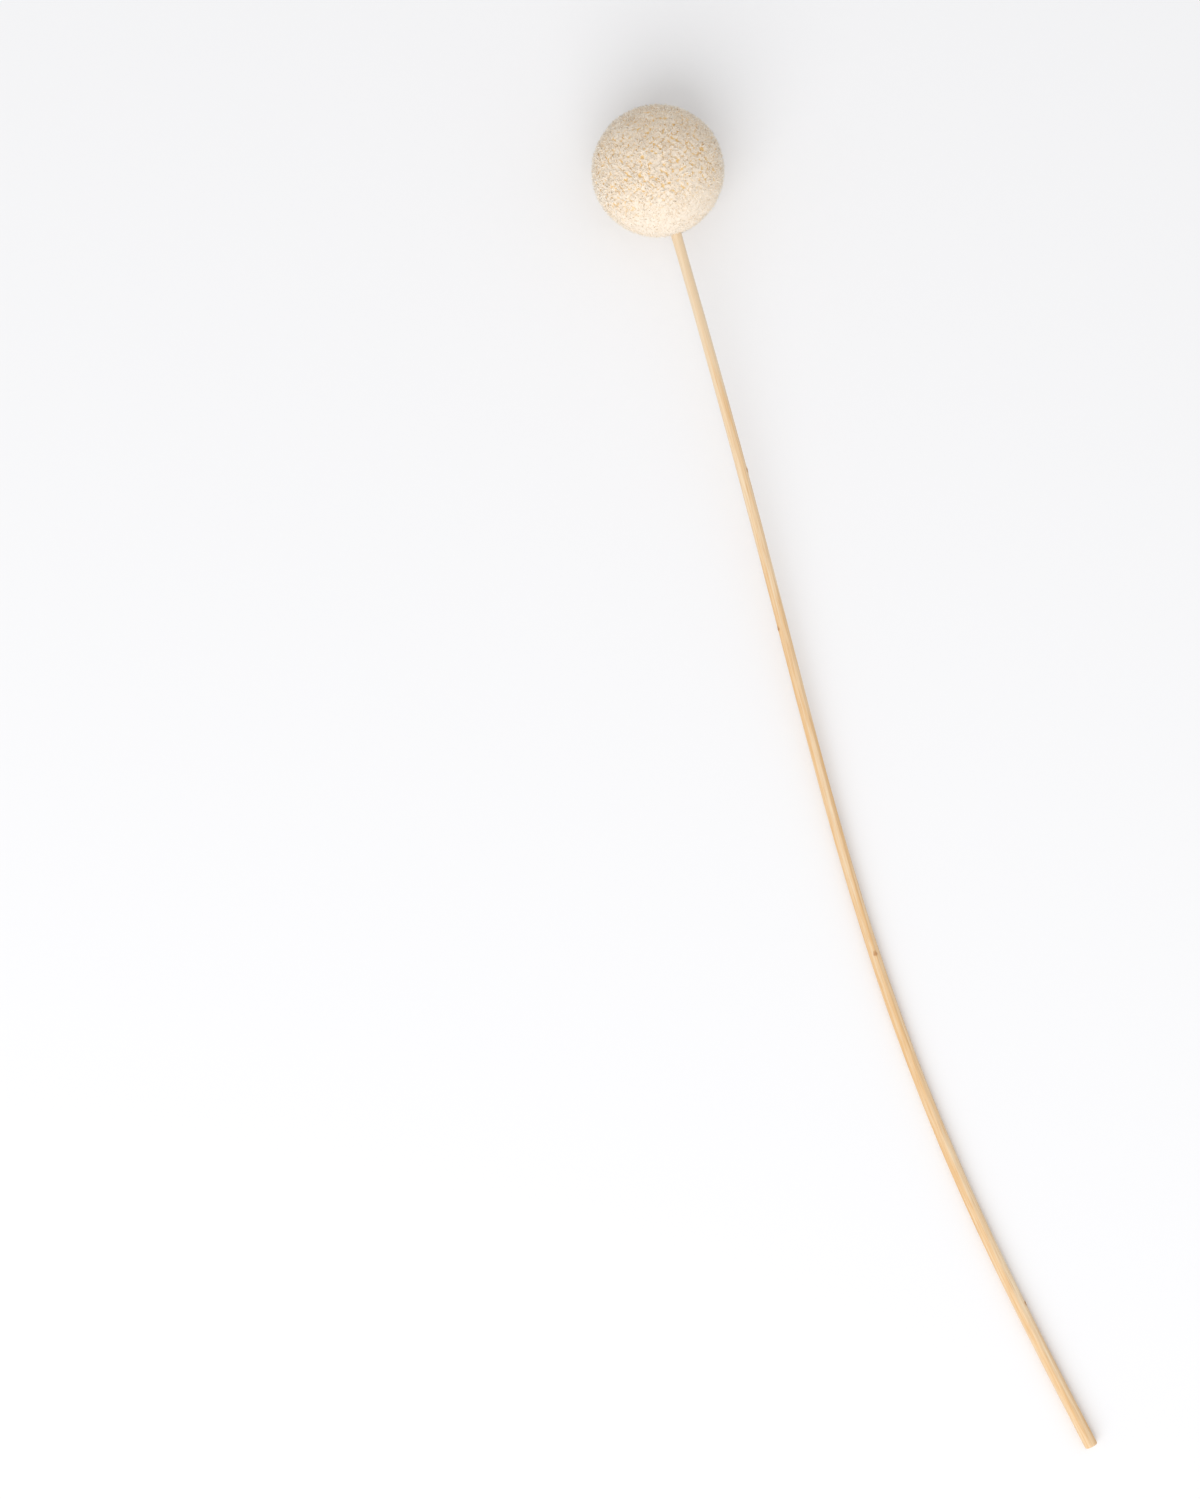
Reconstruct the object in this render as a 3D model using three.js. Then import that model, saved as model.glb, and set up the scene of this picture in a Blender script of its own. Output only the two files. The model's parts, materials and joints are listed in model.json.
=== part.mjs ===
// A dried billy buttons stem, bleached: one globe-shaped flower head on one bare stalk, cut and lying down.
// Millimetres, +Z up. The origin is the spot under the head where it rests, and +X runs from the head
// to the cut end. Seen from above, the stalk bows to -Y.
import * as THREE from "three";
import { ConvexHull } from "three/addons/math/ConvexHull.js";

// ---- Driving dimensions ----
const HEAD_RADIUS = 18.5; // to the tips of the tallest florets
const CORE_RADIUS = 14; // the woody core that the florets grow from
const REST_PRESS = 0.7; // how far the head's weight presses its lowest florets flat
const REACH = 377; // from the middle of the head to the cut end, along X
const SIDE_BOW = 11.6; // the stalk's main sideways bow
const SIDE_BOW_SHIFT = 3.2; // moves the deepest point of the bow towards the cut end
const TOUCH_SHARE = 0.68; // the stalk comes down on the surface at this share of its reach
const DROOP_POWER = 1.8; // how the stalk comes down: 1 is a straight line, 2 a parabola
const NECK_RADIUS = 1.38; // the stalk just under the head
const FOOT_RADIUS = 1.75; // the stalk at its cut end
const SEAT_GAP = 0.3; // between the stalk's top and the core that it meets

// The florets
const FLORET_COUNT = 400;
const FLORET_LOBES = 5;
const FIRST_RING_DEG = 18; // the florets nearest to the stalk, as an angle from the head's axis
const LOBE_FILL = 0.93; // how much of its own cell a lobe fills, towards the next floret
const NOTCH_FILL = 0.6; // the same for the notch between two lobes
const NOTCH_DEPTH = 0.5; // how far a notch lies under its lobes
const THROAT_DEPTH = 1.6; // how far the mouth of the tube lies under the lobes
const HEIGHT_SPREAD = 0.9; // the shortest floret is this much shorter than the tallest
const LOBE_SPREAD = 0.35; // the same between the lobes of one floret
const SITE_JITTER = 0.018; // radians that a floret may stand off the even spiral
const CORE_UNEVEN = 0.25; // how uneven the core's surface is

// The stalk
const STALK_SIDES = 24;
const STALK_STATIONS = 58;
const RIB_COUNT = 8;
const RIB_DEPTH = 0.035; // a rib's height over the mean, as a share of the radius
const RIB_TWIST = 0.9; // turns that the ribs make, in radians over the whole stalk
const NECK_FLARE = 0.35; // the stalk widens by this where it meets the core
const NECK_FLARE_LENGTH = 3;
const CUT_BEVEL = 0.5; // the worn edge of the cut end
const PITH_SHARE = 0.4; // the pith's radius, as a share of the stalk's
const PITH_DEPTH = 0.7;

// Leaf scars: small raised ovals in a spiral up the stalk
const SCAR_DISTANCES = [86, 131, 187, 226, 284, 333]; // from the middle of the head
const SCAR_HEIGHT = 0.28;
const SCAR_HALF_LENGTH = 1.9;
const SCAR_HALF_ANGLE = 0.95;

const GOLDEN_ANGLE = Math.PI * (3 - Math.sqrt(5));
const HEAD_HEIGHT = HEAD_RADIUS - REST_PRESS; // the middle of the head over the surface
const UP = new THREE.Vector3(0, 0, 1);

// A seeded draw from 0 to 1, so that each build is the same.
function seededDraw(seed) {
  let state = seed;
  return () => {
    state = (state + 0x6d2b79f5) | 0;
    let mixed = Math.imul(state ^ (state >>> 15), 1 | state);
    mixed = (mixed + Math.imul(mixed ^ (mixed >>> 7), 61 | mixed)) ^ mixed;
    return ((mixed ^ (mixed >>> 14)) >>> 0) / 4294967296;
  };
}

function stalkRadius(share) {
  const fromCore = share * REACH - CORE_RADIUS;
  const flare = NECK_FLARE * Math.exp(-Math.max(fromCore, 0) / NECK_FLARE_LENGTH);
  return THREE.MathUtils.lerp(NECK_RADIUS, FOOT_RADIUS, share) + flare;
}

// The stalk's centreline: share 0 is the middle of the head, and share 1 the cut end.
class StalkLine extends THREE.Curve {
  getPoint(share, target = new THREE.Vector3()) {
    const side =
      -SIDE_BOW * Math.sin(Math.PI * share) + SIDE_BOW_SHIFT * Math.sin(2 * Math.PI * share);
    const lying = stalkRadius(share) * (1 + RIB_DEPTH);
    const droop = Math.pow(Math.max(1 - share / TOUCH_SHARE, 0), DROOP_POWER);
    return target.set(REACH * share, side, THREE.MathUtils.lerp(lying, HEAD_HEIGHT, droop));
  }
}

const stalkLine = new StalkLine();

// Three directions at a share of the stalk: along it, sideways and upwards.
function stalkAxes(share) {
  const along = stalkLine.getTangent(share);
  const side = new THREE.Vector3().crossVectors(UP, along).normalize();
  return { along, side, up: new THREE.Vector3().crossVectors(along, side) };
}

// A closed mesh from a list of points and a list of corner numbers.
function closedMesh(points, corners) {
  const geometry = new THREE.BufferGeometry();
  geometry.setAttribute(
    "position",
    new THREE.Float32BufferAttribute(points.flatMap((p) => [p.x, p.y, p.z]), 3),
  );
  geometry.setIndex(corners);
  geometry.computeVertexNormals();
  return geometry;
}

// ---- The stalk ----

// How far a leaf scar lifts the stalk's surface at one place.
function scarLift(distance, angle) {
  let lift = 0;
  SCAR_DISTANCES.forEach((middle, number) => {
    const along = (distance - middle) / SCAR_HALF_LENGTH;
    const turned = angle - number * GOLDEN_ANGLE;
    const round = Math.atan2(Math.sin(turned), Math.cos(turned)) / SCAR_HALF_ANGLE;
    lift += SCAR_HEIGHT * Math.max(0, 1 - along * along - round * round);
  });
  return lift;
}

// Distances from the middle of the head at which the stalk has a ring of points.
function stalkDistances() {
  const first = CORE_RADIUS + SEAT_GAP;
  const last = REACH - CUT_BEVEL;
  const distances = [first + 1, first + 2.5, first + 5];
  for (let i = 0; i <= STALK_STATIONS; i += 1) {
    distances.push(first + ((last - first) * i) / STALK_STATIONS);
  }
  for (const middle of SCAR_DISTANCES) {
    for (const part of [-1, -0.5, 0, 0.5, 1]) {
      distances.push(middle + part * SCAR_HALF_LENGTH);
    }
  }
  distances.sort((a, b) => a - b);
  return distances.filter((d, i) => i === 0 || d - distances[i - 1] > 0.4);
}

function stalkRing(distance, shrink, setBack = 0) {
  const share = distance / REACH;
  const { along, side, up } = stalkAxes(share);
  const centre = stalkLine.getPoint(share).addScaledVector(along, -setBack);
  const ring = [];
  for (let i = 0; i < STALK_SIDES; i += 1) {
    const angle = (2 * Math.PI * i) / STALK_SIDES;
    const rib = 1 + RIB_DEPTH * Math.cos(RIB_COUNT * angle);
    const radius = (stalkRadius(share) * rib + scarLift(distance, angle)) * shrink;
    const turned = angle + RIB_TWIST * share;
    const point = centre
      .clone()
      .addScaledVector(side, radius * Math.cos(turned))
      .addScaledVector(up, radius * Math.sin(turned));
    point.z = Math.max(point.z, 0);
    ring.push(point);
  }
  return { centre, ring };
}

function makeStalk() {
  const distances = stalkDistances();
  const rings = distances.map((distance) => stalkRing(distance, 1));
  const bevelShrink = 1 - CUT_BEVEL / FOOT_RADIUS;
  rings.push(stalkRing(REACH, bevelShrink), stalkRing(REACH, PITH_SHARE));
  const points = rings.flatMap(({ ring }) => ring);
  const corners = [];
  for (let r = 0; r + 1 < rings.length; r += 1) {
    for (let i = 0; i < STALK_SIDES; i += 1) {
      const next = (i + 1) % STALK_SIDES;
      const [a, b] = [r * STALK_SIDES + i, r * STALK_SIDES + next];
      const [c, d] = [a + STALK_SIDES, b + STALK_SIDES];
      corners.push(a, b, c, b, d, c);
    }
  }
  const lastRing = (rings.length - 1) * STALK_SIDES;
  const top = points.push(rings[0].centre) - 1;
  const pith = points.push(stalkRing(REACH, 0, PITH_DEPTH).centre) - 1;
  for (let i = 0; i < STALK_SIDES; i += 1) {
    const next = (i + 1) % STALK_SIDES;
    corners.push(top, next, i);
    corners.push(pith, lastRing + i, lastRing + next);
  }
  return closedMesh(points, corners);
}

// ---- The flower head ----

// Directions of the florets from the middle of the head: a golden-angle spiral from the stalk to the
// crown, turned so that one floret points straight down. The first direction is the stalk's own.
function floretDirections(axes, draw) {
  const down = UP.clone().negate();
  const firstHeight = Math.cos(THREE.MathUtils.degToRad(FIRST_RING_DEG));
  const heightOf = (i) => firstHeight - ((i + 0.5) / FLORET_COUNT) * (1 + firstHeight);
  const restFloret = Math.round(
    ((firstHeight - down.dot(axes.along)) / (1 + firstHeight)) * FLORET_COUNT - 0.5,
  );
  const downAngle = Math.atan2(down.dot(axes.side), down.dot(axes.up));
  const spin = downAngle - restFloret * GOLDEN_ANGLE;
  const directions = [axes.along.clone()];
  for (let i = 0; i < FLORET_COUNT; i += 1) {
    const height = heightOf(i);
    const around = Math.sqrt(1 - height * height);
    const angle = i * GOLDEN_ANGLE + spin;
    const direction = axes.along
      .clone()
      .multiplyScalar(height)
      .addScaledVector(axes.up, around * Math.cos(angle))
      .addScaledVector(axes.side, around * Math.sin(angle));
    const jitter = new THREE.Vector3(draw() - 0.5, draw() - 0.5, draw() - 0.5);
    if (i !== restFloret) {
      direction.addScaledVector(jitter, 2 * SITE_JITTER).normalize();
    }
    directions.push(direction);
  }
  return directions;
}

// Two directions across a floret's own, to measure angles round it.
function acrossFloret(direction) {
  const first = new THREE.Vector3(direction.y, -direction.x, 0);
  if (first.lengthSq() < 1e-3) {
    first.set(1, 0, 0);
  }
  first.addScaledVector(direction, -first.dot(direction)).normalize();
  return { first, second: new THREE.Vector3().crossVectors(direction, first) };
}

// The cell of the head's surface that each floret has to itself: its corners in turn, each a direction
// shared with the neighbours, with its number, and its place in the plane across the floret.
function floretCells(directions) {
  const hull = new ConvexHull().setFromPoints(directions);
  const cells = directions.map((direction) => ({
    direction,
    ...acrossFloret(direction),
    corners: [],
  }));
  const numberOf = new Map(directions.map((direction, number) => [direction, number]));
  const cornerDirections = hull.faces.map((face, number) => {
    const corner = face.normal.clone().normalize();
    let edge = face.edge;
    do {
      const cell = cells[numberOf.get(edge.head().point)];
      const scale = 1 / corner.dot(cell.direction);
      const x = corner.dot(cell.first) * scale;
      const y = corner.dot(cell.second) * scale;
      cell.corners.push({ number, x, y, angle: Math.atan2(y, x) });
      edge = edge.next;
    } while (edge !== face.edge);
    return corner;
  });
  for (const cell of cells) {
    cell.corners.sort((a, b) => a.angle - b.angle);
  }
  return { cells, cornerDirections };
}

// How far the cell reaches from its middle at an angle, in the plane across the floret.
function cellReach(cell, angle) {
  const [dx, dy] = [Math.cos(angle), Math.sin(angle)];
  let reach = Infinity;
  cell.corners.forEach((a, i) => {
    const b = cell.corners[(i + 1) % cell.corners.length];
    const [ex, ey] = [b.x - a.x, b.y - a.y];
    const crossing = dx * ey - dy * ex;
    const distance = (a.x * ey - a.y * ex) / crossing;
    if (crossing > 0 && distance > 0) {
      reach = Math.min(reach, distance);
    }
  });
  return reach;
}

// A floret's rim: lobe tips and notches in turn, each with its angle and its point.
function floretRim(cell, height, draw) {
  const spin = 2 * Math.PI * draw();
  const steps = 2 * FLORET_LOBES;
  const rim = [];
  for (let i = 0; i < steps; i += 1) {
    const isLobe = i % 2 === 0;
    const angle = THREE.MathUtils.euclideanModulo(spin + (2 * Math.PI * i) / steps, 2 * Math.PI);
    const reach = cellReach(cell, angle) * (isLobe ? LOBE_FILL : NOTCH_FILL);
    const radius = height - (isLobe ? LOBE_SPREAD * draw() : NOTCH_DEPTH);
    const point = cell.direction
      .clone()
      .addScaledVector(cell.first, reach * Math.cos(angle))
      .addScaledVector(cell.second, reach * Math.sin(angle))
      .normalize()
      .multiplyScalar(radius);
    rim.push({ angle, point });
  }
  return rim.sort((a, b) => a.angle - b.angle);
}

// Triangles between a floret's rim and the valley round it, walked once round by angle.
function stitchWall(rim, valley, corners) {
  let [i, j] = [0, 0];
  while (i < rim.length || j < valley.length) {
    const rimNow = rim[i % rim.length].number;
    const valleyNow = valley[j % valley.length].number;
    const rimNext = i < rim.length ? rim[(i + 1) % rim.length] : null;
    const valleyNext = j < valley.length ? valley[(j + 1) % valley.length] : null;
    const rimAngle = rimNext ? rimNext.angle + (i + 1 === rim.length ? 2 * Math.PI : 0) : Infinity;
    const valleyAngle = valleyNext
      ? valleyNext.angle + (j + 1 === valley.length ? 2 * Math.PI : 0)
      : Infinity;
    if (rimAngle <= valleyAngle) {
      corners.push(rimNow, valleyNow, rimNext.number);
      i += 1;
    } else {
      corners.push(rimNow, valleyNow, valleyNext.number);
      j += 1;
    }
  }
}

function makeFlowerHead() {
  const draw = seededDraw(20261);
  const axes = stalkAxes(0);
  const middle = stalkLine.getPoint(0);
  const { cells, cornerDirections } = floretCells(floretDirections(axes, draw));
  const points = cornerDirections.map((corner) => {
    const radius = CORE_RADIUS - CORE_UNEVEN * draw();
    return corner.clone().multiplyScalar(radius).add(middle);
  });
  const corners = [];
  const fan = (centre, ring) => {
    ring.forEach(({ number }, i) => {
      corners.push(centre, number, ring[(i + 1) % ring.length].number);
    });
  };
  cells.forEach((cell, floret) => {
    const valley = cell.corners.map(({ number, angle }) => ({
      number,
      angle: THREE.MathUtils.euclideanModulo(angle, 2 * Math.PI),
    }));
    valley.sort((a, b) => a.angle - b.angle);
    if (floret === 0) {
      // the bare place that the stalk comes out of
      const seat = cell.direction.clone().multiplyScalar(CORE_RADIUS).add(middle);
      fan(points.push(seat) - 1, valley);
      return;
    }
    const height = HEAD_RADIUS - HEIGHT_SPREAD * draw() * draw();
    const rim = floretRim(cell, height, draw).map(({ angle, point }) => {
      point.add(middle);
      const pressed = point.z <= 0;
      point.z = Math.max(point.z, 0);
      return { angle, pressed, number: points.push(point) - 1 };
    });
    const throat = cell.direction.clone().multiplyScalar(height - THROAT_DEPTH).add(middle);
    if (rim.every(({ pressed }) => pressed)) {
      throat.z = 0;
    }
    fan(points.push(throat) - 1, rim);
    stitchWall(rim, valley, corners);
  });
  return closedMesh(points, corners);
}

// ---- The plant ----

const dryStraw = new THREE.MeshStandardMaterial({ color: 0xe8cfa0, roughness: 0.6, metalness: 0 });
const bleachedFlorets = new THREE.MeshStandardMaterial({
  color: 0xe9dcc6,
  roughness: 0.9,
  metalness: 0,
});

const stalk = new THREE.Mesh(makeStalk(), dryStraw);
stalk.name = "stem";

const flowerHead = new THREE.Mesh(makeFlowerHead(), bleachedFlorets);
flowerHead.name = "flower_head";

const billyButton = new THREE.Group();
billyButton.add(stalk, flowerHead);

export default billyButton;
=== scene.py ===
"""A dried, bleached billy buttons stem: a globe of small florets on a long bare stalk.

The stem lies on its side. The origin is the spot under the flower head where it rests, +X runs from the
head to the stalk's cut end, and +Z is up. Sizes are in metres.
"""

import json
import logging
import math
import random
from dataclasses import dataclass, field
from enum import Enum
from typing import Any, Mapping, Optional, Sequence, Union

import bpy
from mathutils import Matrix, Vector

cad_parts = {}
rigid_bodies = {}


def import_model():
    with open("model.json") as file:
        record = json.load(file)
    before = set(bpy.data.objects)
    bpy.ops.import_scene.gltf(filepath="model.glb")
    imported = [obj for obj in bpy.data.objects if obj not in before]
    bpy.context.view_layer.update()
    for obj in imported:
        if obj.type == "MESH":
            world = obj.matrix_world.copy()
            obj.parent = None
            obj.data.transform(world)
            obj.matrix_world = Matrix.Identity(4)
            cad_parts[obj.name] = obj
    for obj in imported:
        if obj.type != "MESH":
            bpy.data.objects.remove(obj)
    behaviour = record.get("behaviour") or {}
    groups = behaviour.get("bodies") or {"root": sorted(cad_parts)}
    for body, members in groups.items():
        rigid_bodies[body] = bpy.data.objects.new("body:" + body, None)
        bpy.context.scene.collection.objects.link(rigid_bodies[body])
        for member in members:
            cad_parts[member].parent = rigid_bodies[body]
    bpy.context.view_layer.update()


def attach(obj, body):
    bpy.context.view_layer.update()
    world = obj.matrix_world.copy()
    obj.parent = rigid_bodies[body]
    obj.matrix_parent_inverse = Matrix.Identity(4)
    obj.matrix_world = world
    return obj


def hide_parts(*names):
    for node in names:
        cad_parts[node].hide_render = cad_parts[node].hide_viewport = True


MM = 0.001
GOLDEN_ANGLE = math.pi * (3 - math.sqrt(5))
ROOT_BODY = "root"

Colour = tuple[float, float, float]
Feed = Union["Wire", float, int, bool, str, Sequence[float], bpy.types.ID]
Settings = Optional[Mapping[str, Any]]
Inputs = Optional[Mapping[Union[str, int], Feed]]
# a point of a small mesh, and how open it is
Spot = tuple[Vector, float]
# a streaky pattern: its lumps in one radius round the stalk and in a metre along it, and its finer layers
Streaks = tuple[float, float, float]

log = logging.getLogger("billy_buttons")


def srgb(red: int, green: int, blue: int) -> Colour:
    """Turns a colour in 0 to 255 steps into the linear colour that a shader takes.

    Args:
        red: The red step.
        green: The green step.
        blue: The blue step.

    Returns:
        The linear red, green and blue.
    """

    def linear(step: int) -> float:
        """Undoes the display curve on one step."""
        share = step / 255
        return share / 12.92 if share <= 0.04045 else ((share + 0.055) / 1.055) ** 2.4

    return linear(red), linear(green), linear(blue)


def placed(name: str, data: bpy.types.ID) -> bpy.types.Object:
    """Makes an object and puts it in the scene.

    Args:
        name: The object's name.
        data: Its mesh, lamp or camera.

    Returns:
        The object, at the origin.
    """
    thing = bpy.data.objects.new(name, data)
    bpy.context.scene.collection.objects.link(thing)
    return thing


# ---- Nodes ----


class Wire:
    """An output socket whose Python operators add Math nodes to its tree."""

    def __init__(self, bench: "NodeBench", socket: bpy.types.NodeSocket) -> None:
        """Keeps the socket and the bench that adds nodes beside it."""
        self.bench = bench
        self.socket = socket

    def math(self, operation: str, *others: Feed) -> "Wire":
        """Adds a Math node with this socket as its first value."""
        return self.bench.math(operation, self, *others)

    def __add__(self, other: Feed) -> "Wire":
        """Adds a value."""
        return self.math("ADD", other)

    def __sub__(self, other: Feed) -> "Wire":
        """Takes a value away."""
        return self.math("SUBTRACT", other)

    def __rsub__(self, other: Feed) -> "Wire":
        """Takes this away from a value."""
        return self.bench.math("SUBTRACT", other, self)

    def __mul__(self, other: Feed) -> "Wire":
        """Multiplies by a value."""
        return self.math("MULTIPLY", other)

    def __truediv__(self, other: Feed) -> "Wire":
        """Divides by a value."""
        return self.math("DIVIDE", other)

    def __rtruediv__(self, other: Feed) -> "Wire":
        """Divides a value by this."""
        return self.bench.math("DIVIDE", other, self)

    __radd__ = __add__
    __rmul__ = __mul__

    def at_least(self, low: Feed) -> "Wire":
        """Keeps this from going under a value."""
        return self.math("MAXIMUM", low)

    def at_most(self, high: Feed) -> "Wire":
        """Keeps this from going over a value."""
        return self.math("MINIMUM", high)

    def eased(self, low: float, high: float) -> "Wire":
        """Goes smoothly from 0 where this is low to 1 where it is high. Either may be the larger."""
        inputs = {"Value": self, "From Min": low, "From Max": high}
        return self.bench.wire("ShaderNodeMapRange", {"interpolation_type": "SMOOTHSTEP"}, inputs)


class NodeBench:
    """Adds nodes to one tree, of a material or of Geometry Nodes, and joins their sockets."""

    def __init__(self, tree: bpy.types.NodeTree) -> None:
        """Keeps the tree that the nodes go in."""
        self.tree = tree

    def node(self, kind: str, settings: Settings = None, inputs: Inputs = None) -> bpy.types.Node:
        """Adds a node, sets it up, and joins or fills its inputs.

        Args:
            kind: The node's type.
            settings: Its properties by name, set first. "points" are a Float Curve's points.
            inputs: The values or links of its sockets, by socket name or number.

        Returns:
            The node.
        """
        node = self.tree.nodes.new(kind)
        for name, value in (settings or {}).items():
            if name == "points":
                self._set_points(node, value)
            else:
                setattr(node, name, value)
        for key, value in (inputs or {}).items():
            self.feed(self._shown(node.inputs, key), value)
        return node

    def wire(
        self, kind: str, settings: Settings = None, inputs: Inputs = None, output: Union[str, int] = 0
    ) -> Wire:
        """Adds a node as node() does, and gives one of its outputs."""
        return Wire(self, self._shown(self.node(kind, settings, inputs).outputs, output))

    def shape(self, kind: str, **inputs: Feed) -> Wire:
        """Adds a node that Geometry Nodes have, whose inputs are named with _ for each space."""
        named = {name.replace("_", " "): value for name, value in inputs.items()}
        return self.wire(f"GeometryNode{kind}", inputs=named)

    def math(self, operation: str, *values: Feed) -> Wire:
        """Adds a Math node on the values."""
        return self.wire("ShaderNodeMath", {"operation": operation}, dict(enumerate(values)))

    def vector_math(self, operation: str, *values: Feed) -> Wire:
        """Adds a Vector Math node on the values, and gives the vector or number that it makes."""
        return self.wire("ShaderNodeVectorMath", {"operation": operation}, dict(enumerate(values)))

    def scaled(self, vector: Feed, size: Feed) -> Wire:
        """Multiplies a vector by a number."""
        return self.wire("ShaderNodeVectorMath", {"operation": "SCALE"}, {0: vector, "Scale": size})

    def unit(self, vector: Feed) -> Wire:
        """Gives a vector a length of 1."""
        return self.vector_math("NORMALIZE", vector)

    def added(self, first: Feed, *others: Feed) -> Wire:
        """Adds vectors up."""
        for other in others:
            first = self.vector_math("ADD", first, other)
        return first

    def vector(self, x: Feed, y: Feed, z: Feed) -> Wire:
        """Makes a vector from three values."""
        return self.wire("ShaderNodeCombineXYZ", inputs={"X": x, "Y": y, "Z": z})

    def parts(self, vector: Feed) -> list[Wire]:
        """Takes a vector apart into its three values."""
        node = self.node("ShaderNodeSeparateXYZ", inputs={"Vector": vector})
        return [Wire(self, socket) for socket in node.outputs]

    def noise(self, place: Feed, scale: float = 1.0, detail: float = 2.0, output: Any = 0) -> Wire:
        """Adds a noise pattern from 0 to 1, with "scale" lumps in one unit of the place."""
        inputs = {"Vector": place, "Scale": scale, "Detail": detail}
        return self.wire("ShaderNodeTexNoise", inputs=inputs, output=output)

    def streaks(self, bark: Feed, streaks: Streaks) -> Wire:
        """Adds a noise pattern from 0 to 1 that is drawn out along the stalk's bark."""
        across, along, detail = streaks
        return self.noise(self.vector_math("MULTIPLY", bark, (across, across, along)), detail=detail)

    def feed(self, socket: bpy.types.NodeSocket, value: Feed) -> None:
        """Links a wire to an input socket, or sets the socket to a plain value.

        Args:
            socket: The socket.
            value: The wire or the value.
        """
        if isinstance(value, Wire):
            self.tree.links.new(value.socket, socket)
        elif socket.bl_idname == "NodeSocketColor" and len(value) == 3:
            socket.default_value = (*value, 1.0)
        else:
            socket.default_value = value

    @staticmethod
    def _shown(sockets: Sequence[bpy.types.NodeSocket], key: Union[str, int]) -> bpy.types.NodeSocket:
        """Finds a socket by its number or name, among those that are in use."""
        shown = [socket for socket in sockets if socket.enabled]
        return shown[key] if isinstance(key, int) else next(socket for socket in shown if socket.name == key)

    @staticmethod
    def _set_points(node: bpy.types.Node, points: Sequence[tuple[float, float]]) -> None:
        """Gives a Float Curve node its points, joined by straight lines.

        Args:
            node: The node.
            points: The points, from the lowest input to the highest.
        """
        curve = node.mapping.curves[0]
        while len(curve.points) < len(points):
            curve.points.new(1.0, 1.0)
        for point, place in zip(curve.points, points):
            point.location = place
            point.handle_type = "VECTOR"
        node.mapping.update()


class ShapeBench(NodeBench):
    """A bench on a new Geometry Nodes tree with named inputs, which makes plain meshes."""

    def __init__(self, name: str) -> None:
        """Starts an empty tree.

        Args:
            name: The tree's name.
        """
        super().__init__(bpy.data.node_groups.new(name, "GeometryNodeTree"))
        self.tree.interface.new_socket("Geometry", in_out="OUTPUT", socket_type="NodeSocketGeometry")
        self._source = self.node("NodeGroupInput")
        self._defaults: dict[str, Any] = {}

    def input(self, name: str, kind: str, value: Any) -> Wire:
        """Adds a named input.

        Args:
            name: The input's name.
            kind: The socket's type, such as Float or Int.
            value: What it holds unless make() is given something else.

        Returns:
            The input, inside the tree.
        """
        self.tree.interface.new_socket(name, in_out="INPUT", socket_type=f"NodeSocket{kind}")
        self._defaults[name] = value
        return Wire(self, self._source.outputs[name])

    def keep(self, geometry: Wire, name: str, value: Wire, kind: str = "FLOAT", on: str = "POINT") -> Wire:
        """Keeps a value on each part of a geometry.

        Args:
            geometry: The geometry.
            name: The name that the value is kept under.
            value: The value.
            kind: The value's data type.
            on: The parts that hold it, points or instances.

        Returns:
            The geometry.
        """
        inputs = {"Geometry": geometry, "Name": name, "Value": value}
        return self.wire("GeometryNodeStoreNamedAttribute", {"data_type": kind, "domain": on}, inputs)

    def kept(self, name: str, kind: str = "FLOAT") -> Wire:
        """Reads a value that was kept under a name."""
        return self.wire("GeometryNodeInputNamedAttribute", {"data_type": kind}, {"Name": name})

    def draw(self, number: Wire, seed: Feed, low: float = 0.0, high: float = 1.0) -> Wire:
        """Draws a random value for each number."""
        inputs = {"Min": low, "Max": high, "ID": number, "Seed": seed}
        return self.wire("FunctionNodeRandomValue", {"data_type": "FLOAT"}, inputs)

    def draw_vector(self, number: Wire, seed: Feed, spread: float = 1.0) -> Wire:
        """Draws a random vector for each number, from minus the spread to the spread each way."""
        inputs = {"Min": (-spread,) * 3, "Max": (spread,) * 3, "ID": number, "Seed": seed}
        return self.wire("FunctionNodeRandomValue", {"data_type": "FLOAT_VECTOR"}, inputs)

    def end(self, geometry: Wire, finish: bpy.types.Material) -> None:
        """Ends the tree with a smooth, plain mesh in its finish.

        Args:
            geometry: What the tree has made.
            finish: The finish, which goes in the input Finish.
        """
        material = self.input("Finish", "Material", finish)
        geometry = self.shape("SetShadeSmooth", Geometry=geometry)
        geometry = self.shape("RealizeInstances", Geometry=geometry)
        geometry = self.shape("SetMaterial", Geometry=geometry, Material=material)
        self.node("NodeGroupOutput", inputs={"Geometry": geometry})

    def make(self, name: str, **changes: Any) -> bpy.types.Object:
        """Runs the tree and keeps what it makes as a plain mesh.

        Args:
            name: The new piece's name.
            **changes: Inputs that differ from their defaults.

        Returns:
            The piece, in the scene and at the origin.
        """
        values = {**self._defaults, **changes}
        carrier = placed(f"{name}_recipe", bpy.data.meshes.new(f"{name}_recipe"))
        modifier = carrier.modifiers.new("recipe", "NODES")
        modifier.node_group = self.tree
        for item in self.tree.interface.items_tree:
            if item.in_out == "INPUT":
                modifier[item.identifier] = values[item.name]
        depsgraph = bpy.context.evaluated_depsgraph_get()
        mesh = bpy.data.meshes.new_from_object(
            carrier.evaluated_get(depsgraph), preserve_all_data_layers=True, depsgraph=depsgraph
        )
        mesh.name = name
        bpy.data.batch_remove([carrier, carrier.data])
        return placed(name, mesh)


# ---- Finishes ----


SHEEN_ROUGHNESS = 0.6


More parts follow.
